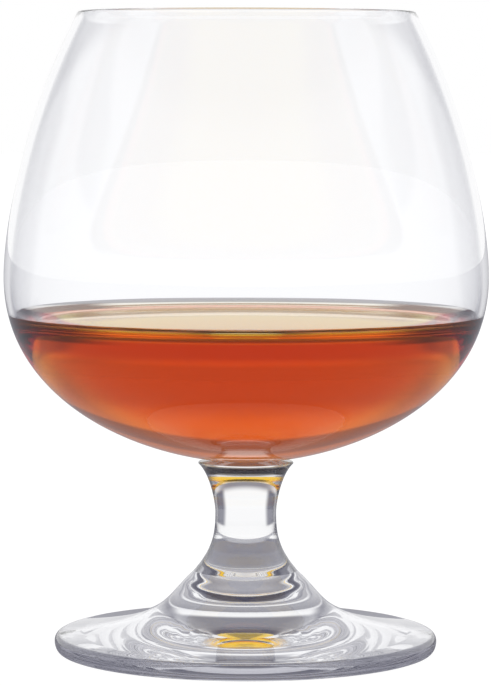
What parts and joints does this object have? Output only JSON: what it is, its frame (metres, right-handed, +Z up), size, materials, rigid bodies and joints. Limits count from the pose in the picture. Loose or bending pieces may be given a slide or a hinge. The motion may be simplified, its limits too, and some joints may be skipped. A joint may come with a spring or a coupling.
{
  "type": "brandy snifter",
  "caption": "Footed tasting glass with a short waisted stem, a wide round belly narrowing to the mouth, and a measure of amber brandy that can swirl in it.",
  "frame": {"origin": "centre of the foot, on the surface that the glass stands on", "axes": "+Z up along the glass's axis of revolution, through the stem and the middle of the mouth; X and Y are alike"},
  "size_m": [0.0832, 0.0832, 0.11],
  "materials": {
    "clear_glass": "polished",
    "brandy": "gloss"
  },
  "bodies": {
    "glass": {"bowl": "clear_glass", "stem": "clear_glass", "foot": "clear_glass"},
    "drink": {"brandy": "brandy"}
  },
  "joints": [
    {"name": "brandy_swirl", "type": "hinge", "parent": "glass", "child": "drink", "pos_m": [0, 0, 0.0566], "axis": [0, 0, 1], "continuous": true}
  ]
}
